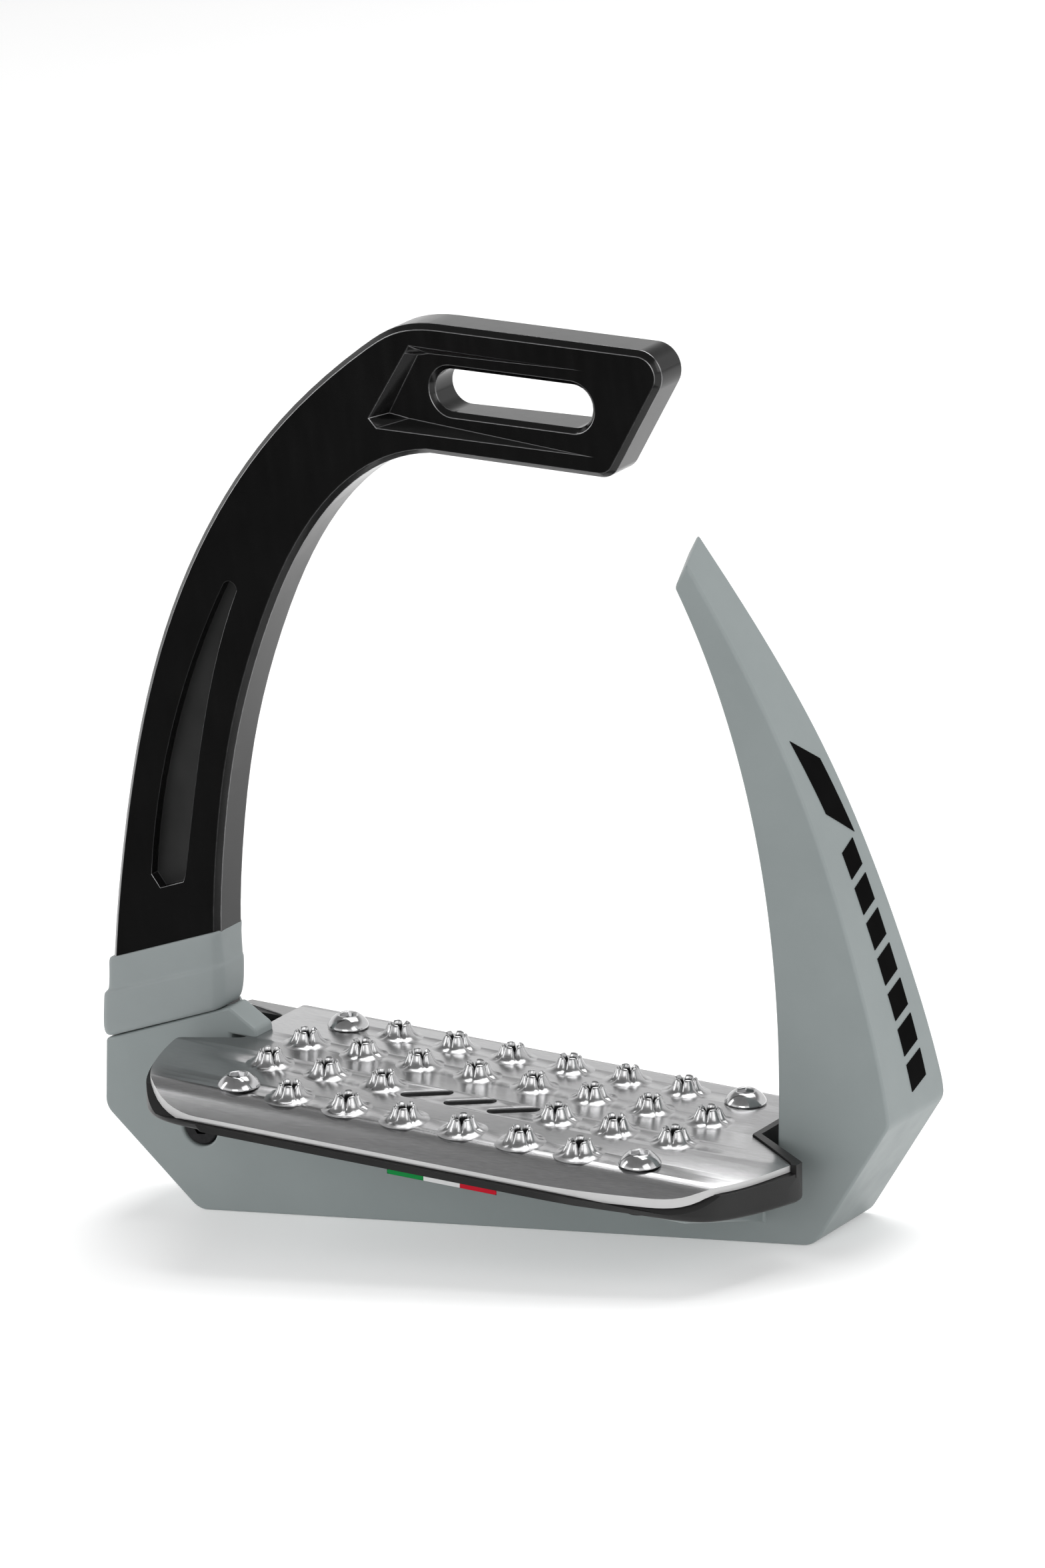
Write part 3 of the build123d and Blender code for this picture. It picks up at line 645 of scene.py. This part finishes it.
def punched_crown(bm, x, y, turn):
    """One burst tooth: a flared skirt that splits into five petals round an open middle."""
    petals, per_petal = 5, 12
    height, split, sunk = 2.7, 1.45, 0.03
    around = petals * per_petal
    # outer wall as (share of height, radius), then the inner wall back down
    outer = [(0.0, 4.75), (0.02, 4.25), (0.06, 3.8), (0.13, 3.4), (0.24, 3.02), (0.38, 2.7), (0.54, 2.44),
             (0.70, 2.24), (0.86, 2.08), (0.97, 1.94)]
    inner = [(1.0, 1.72), (0.92, 1.48), (0.6, 1.42), (0.25, 1.62), (-0.1, 1.95), (-0.42, 2.2)]
    rings = []
    for share, radius in outer + inner:
        ring = []
        for i in range(around):
            angle = math.tau * i / around + turn
            across = abs((i % per_petal) / per_petal - 0.5) * 2.0  # 0 in a petal's middle, 1 at a split
            notch = max(0.0, (across - 0.55) / 0.45)
            lift = max(0.0, share)
            top = height - (height - split) * notch**1.2 - 0.10 * across
            z = share * (top if share > 0 else height)
            pinch = 1.0 - 0.13 * notch * lift + 0.05 * (1.0 - across) * lift
            r = radius * (pinch if share > 0.1 else 1.0)
            u, v = x + r * math.cos(angle), y + r * math.sin(angle)
            ring.append(bm.verts.new((u, v, crown(v) - sunk + z)))
        rings.append(ring)
    for low, high in zip(rings, rings[1:]):
        for i in range(around):
            k = (i + 1) % around
            bm.faces.new((low[i], low[k], high[k], high[i]))
    # the underside closes the skirt inside the sheet
    for i in range(around):
        k = (i + 1) % around
        bm.faces.new((rings[-1][i], rings[-1][k], rings[0][k], rings[0][i]))


def slot_outline(x, y, half, radius, turn):
    """A slot with round ends, turned by an angle about its middle. half is half its length."""
    made = []
    for side in (1, -1):
        end = (x + side * half * math.cos(turn), y + side * half * math.sin(turn))
        for i in range(13):
            angle = turn + math.radians(15 * i - side * 90)
            made.append((end[0] + radius * math.cos(angle), end[1] + radius * math.sin(angle)))
    return made


def tread_plate():
    plate = as_piece("toothed_plate", prism(sheet_section(), -80.0, 80.0, side_view), TREAD_FRAME)
    outline = as_piece("outline", prism(plate_outline(), -20.0, 20.0, plan_view), TREAD_FRAME)
    combine(plate, outline, "INTERSECT")
    holes = bmesh.new()
    for x, y in tooth_places():
        joined(holes, prism(circle((x, y), 2.05, 24), -5.0, 5.0, plan_view))
    for x in (-9.0, 0.0, 9.0):
        slot = slot_outline(x, -0.5 * TOOTH_PITCH_Y, 3.45, 1.3, math.radians(35))
        joined(holes, prism(slot, -5.0, 5.0, plan_view))
    combine(plate, as_piece("holes", holes, TREAD_FRAME), "DIFFERENCE")
    cleaned(plate, flat=0.1)
    bevelled(plate, 0.16, 2, 40)
    shaded(plate, 35)
    # the cut edge is painted pale, a painted highlight that shows as a bright line round the front of the
    # sheet
    for face in plate.data.polygons:
        middle = face.center / MM
        near_rim = middle.y < -20.0 or middle.x < -56.0 or middle.x > 60.0
        if near_rim and face.normal.y < -0.05 and face.normal.z < 0.2:
            face.material_index = 2
    teeth = bmesh.new()
    for i, (x, y) in enumerate(tooth_places()):
        punched_crown(teeth, x, y, 0.4 + 1.9 * i)
    crowns = shaded(as_piece("crowns", teeth, TREAD_FRAME), 50)
    # a plain tab at the left of the back edge lies a little lower than the sheet
    outline = rounded([
        (-55.05, 25.2, 0.0), (-66.4, 25.2, 0.8), (-66.4, 23.6, 0.6), (-57.0, 20.9, 1.4), (-54.8, 18.6, 0.0)])
    tab = as_piece("tab", prism(outline, -2.2, -1.65, plan_view), TREAD_FRAME)
    bevelled(tab, 0.12, 2, 40)
    for face in tab.data.polygons:
        face.material_index = 1
    bm = bmesh.new()
    for part in (plate, crowns, tab):
        bm.from_mesh(part.data)
    bm.to_mesh(plate.data)
    bm.free()
    bpy.data.objects.remove(crowns)
    bpy.data.objects.remove(tab)
    finished(plate, PLATE, "footbed", ("tread_plate",), (DULL_STEEL, CUT_EDGE_HIGHLIGHT))


tread_plate()


# Pad, screws and small parts ---------------------------------------------------------------------
def pad():
    """The lower edge is rounder at the two ends than along the front."""
    piece = node_copy("tread_pad", "rubber_pad")
    to_tread = TREAD_FRAME.inverted()

    def low_end(middle):
        place = to_tread @ middle
        return place.z < PAD_BOTTOM + 0.1 and abs(place.x) > 44.0 and (place.y < 0.0 or abs(place.x) > 55.0)

    bevelled(piece, 1.2, 4, 45, False, low_end)
    bevelled(piece, 0.4, 3, 30, True, lambda middle: not low_end(middle))
    keep_faces_flat(shaded(piece, 40))
    finished(piece, RUBBER, "footbed", ("tread_pad",))


def revolved(bm, profile, centre, count=48):
    """Adds a closed turned shape. The profile runs from the axis out and back to it."""
    rings = []
    for radius, z in profile:
        if radius == 0:
            rings.append([bm.verts.new((centre[0], centre[1], z))])
        else:
            rings.append([bm.verts.new((u, v, z)) for u, v in circle(centre, radius, count)])
    for low, high in zip(rings, rings[1:]):
        for i in range(count):
            k = (i + 1) % count
            corners = [low[i % len(low)], low[k % len(low)], high[k % len(high)], high[i % len(high)]]
            bm.faces.new(list(dict.fromkeys(corners)))


def screws():
    """Button-head screws: each head is part of a ball, with a hexagon socket in its flat top."""
    head, ball, shank = 3.8, 4.2, 2.0  # radii
    rim = 0.25  # height of the head's straight side
    hex_radius, hex_depth = 1.7, 1.3
    seat = crown(SCREW_Y - head)

    def ball_height(radius):
        return math.sqrt(ball**2 - radius**2) - math.sqrt(ball**2 - head**2)

    top = seat + rim + ball_height(shank)
    profile = [(0.0, SCREW_END), (shank, SCREW_END), (shank, seat), (head - 0.12, seat), (head, seat + 0.12),
               (head, seat + rim)]
    for k in range(1, 13):
        radius = head - (head - shank) * k / 12
        profile.append((radius, seat + rim + ball_height(radius)))
    profile.append((0.0, top))
    bm, hexes = bmesh.new(), bmesh.new()
    for x in (SCREW_LEFT, SCREW_RIGHT):
        for y in (-SCREW_Y, SCREW_Y):
            revolved(bm, profile, (x, y))
            joined(hexes, prism(circle((x, y), hex_radius, 6), top - hex_depth, top + 1.0, plan_view))
    piece = as_piece("button_screws", bm, TREAD_FRAME)
    combine(piece, as_piece("hexes", hexes, TREAD_FRAME), "DIFFERENCE")
    cleaned(piece, flat=0.1)
    bevelled(piece, 0.1, 2, 40)
    shaded(piece, 40)
    finished(piece, CHROME, "footbed", ("tread_screws",))


pad()
screws()


def small_part(node, name, material, body):
    """A CAD node with fine rounded edges and its own material."""
    piece = bevelled(node_copy(node, name), 0.12, 2, 35)
    keep_faces_flat(shaded(piece, 40))
    finished(piece, material, body, (node,))


for node, name, material, slot, body in (
    ("pivot_pin", "cross_pin", BLACK_STEEL_AND_SHADE, "black_steel", "footbed"),
    ("pivot_nut", "pin_nut", BLACK_STEEL_AND_SHADE, "black_steel", "footbed"),
    ("pivot_bush", "eye_bush", BRONZE, "bronze", "hook"),
    ("thrust_washers", "side_washers", NYLON, "white_nylon", "footbed"),
    ("tang_buffers", "rubber_buffers", RUBBER, "grey_elastomer", "footbed"),
    # the inserts take the black steel as painted shade, so the end that shows below the pad reads as its
    # shadow
    ("tread_inserts", "threaded_inserts", BLACK_STEEL_AND_SHADE, "bronze", "footbed"),
    ("strip_green", "green_strip", GREEN, "strip_green", "footbed"),
    ("strip_white", "white_strip", WHITE, "white_nylon", "footbed"),
    ("strip_red", "red_strip", RED, "strip_red", "footbed"),
):
    small_part(node, name, material, body)


# Floor, light and camera -------------------------------------------------------------------------
VIEW_AZIMUTH, VIEW_ELEVATION, VIEW_ROLL = 33.54, 14.26, -7.27
VIEW_DISTANCE, VIEW_AIM, LENS = 1.988, Vector((0.0133, 0.0085, 0.0816)), 258.8
LIGHT_AIM = Vector((0.0, 0.01, 0.07))


def camera():
    """The photograph's view: azimuth from the front towards +X, height above the level, and roll."""
    az, el, roll = (math.radians(v) for v in (VIEW_AZIMUTH, VIEW_ELEVATION, VIEW_ROLL))
    back = Vector((math.sin(az) * math.cos(el), -math.cos(az) * math.cos(el), math.sin(el)))
    level = Vector((math.cos(az), math.sin(az), 0.0))
    upright = back.cross(level)
    right = level * math.cos(roll) + upright * math.sin(roll)
    up = back.cross(right)
    data = bpy.data.cameras.new("camera")
    data.lens = LENS
    data.sensor_width = 36.0
    obj = bpy.data.objects.new("camera", data)
    obj.matrix_world = Matrix((right, up, back)).transposed().to_4x4()
    obj.location = VIEW_AIM + back * VIEW_DISTANCE
    bpy.context.scene.collection.objects.link(obj)
    bpy.context.scene.camera = obj


def floor():
    """A pale floor that glows a little, so that it meets the white sweep without an edge."""
    bm = bmesh.new()
    bmesh.ops.create_circle(bm, cap_ends=True, segments=64, radius=4000.0)
    bmesh.ops.translate(bm, verts=bm.verts, vec=(0.0, 0.0, -0.05))
    made = as_piece("floor", bm)
    paint = Paint("pale_floor")
    paint.place = paint.node("ShaderNodeTexCoord").outputs["Object"]
    paint.tint(paint.ranged(paint.noise(4.0, 3.0), 0.0, 1.0), (0.86, 0.86, 0.86), (0.88, 0.88, 0.88))
    paint.roughness(paint.ranged(paint.noise(30.0, 3.0), 0.75, 0.85))
    paint.shader.inputs["Emission Color"].default_value = (1.0, 1.0, 1.0, 1.0)
    paint.shader.inputs["Emission Strength"].default_value = 0.25
    made.data.materials.append(paint.material)


def reflection_card():
    """A dark card on the floor, seen only in reflections, that keeps the front of the arm deep black."""
    corners = [(-900.0, -1100.0), (160.0, -1100.0), (160.0, -60.0), (-900.0, -60.0)]
    made = as_piece("dark_card", prism(corners, 0.5, 1.0, plan_view))
    paint = Paint("dark_card", Specular_IOR_Level=0.0)
    paint.place = paint.node("ShaderNodeTexCoord").outputs["Object"]
    paint.tint(paint.ranged(paint.noise(4.0, 3.0), 0.0, 1.0), (0.10, 0.10, 0.10), (0.12, 0.12, 0.12))
    made.data.materials.append(paint.material)
    made.visible_camera = made.visible_diffuse = made.visible_shadow = made.visible_transmission = False


def area_light(name, place, size, energy):
    """A soft box that points at the middle of the stirrup."""
    data = bpy.data.lights.new(name, "AREA")
    data.shape, data.size, data.size_y, data.energy = "RECTANGLE", size[0], size[1], energy
    obj = bpy.data.objects.new(name, data)
    obj.location = place
    obj.rotation_euler = (LIGHT_AIM - Vector(place)).to_track_quat("-Z", "Y").to_euler()
    bpy.context.scene.collection.objects.link(obj)


def studio():
    """A white sweep low down that darkens overhead, so that metal shows both."""
    world = bpy.data.worlds.new("studio")
    bpy.context.scene.world = world
    world.use_nodes = True
    tree = world.node_tree
    background = tree.nodes["Background"]
    direction = tree.nodes.new("ShaderNodeTexCoord")
    parts = tree.nodes.new("ShaderNodeSeparateXYZ")
    tree.links.new(direction.outputs["Generated"], parts.inputs["Vector"])
    ramp = tree.nodes.new("ShaderNodeValToRGB")
    tree.links.new(parts.outputs["Z"], ramp.inputs["Fac"])
    tree.links.new(ramp.outputs["Color"], background.inputs["Color"])
    stops = ((0.0, 1.0), (0.42, 1.0), (0.62, 0.30), (1.0, 0.25))  # (sine of the height, grey)
    for place, _ in stops[1:3]:
        ramp.color_ramp.elements.new(place)
    for element, (place, grey) in zip(ramp.color_ramp.elements, stops):
        element.position = place
        element.color = (grey, grey, grey, 1.0)
    background.inputs["Strength"].default_value = 1.0
    area_light("top_softbox", (0.1, 0.5, 1.3), (1.2, 0.9), 14.0)
    area_light("right_softbox", (1.4, -0.4, 0.7), (0.9, 1.1), 5.0)
    area_light("front_softbox", (0.35, -1.5, 0.5), (0.8, 0.8), 4.0)
    area_light("left_strip", (-1.2, -0.5, 0.6), (0.3, 1.2), 4.0)


camera()
floor()
reflection_card()
studio()
bpy.context.scene.view_settings.view_transform = "Standard"
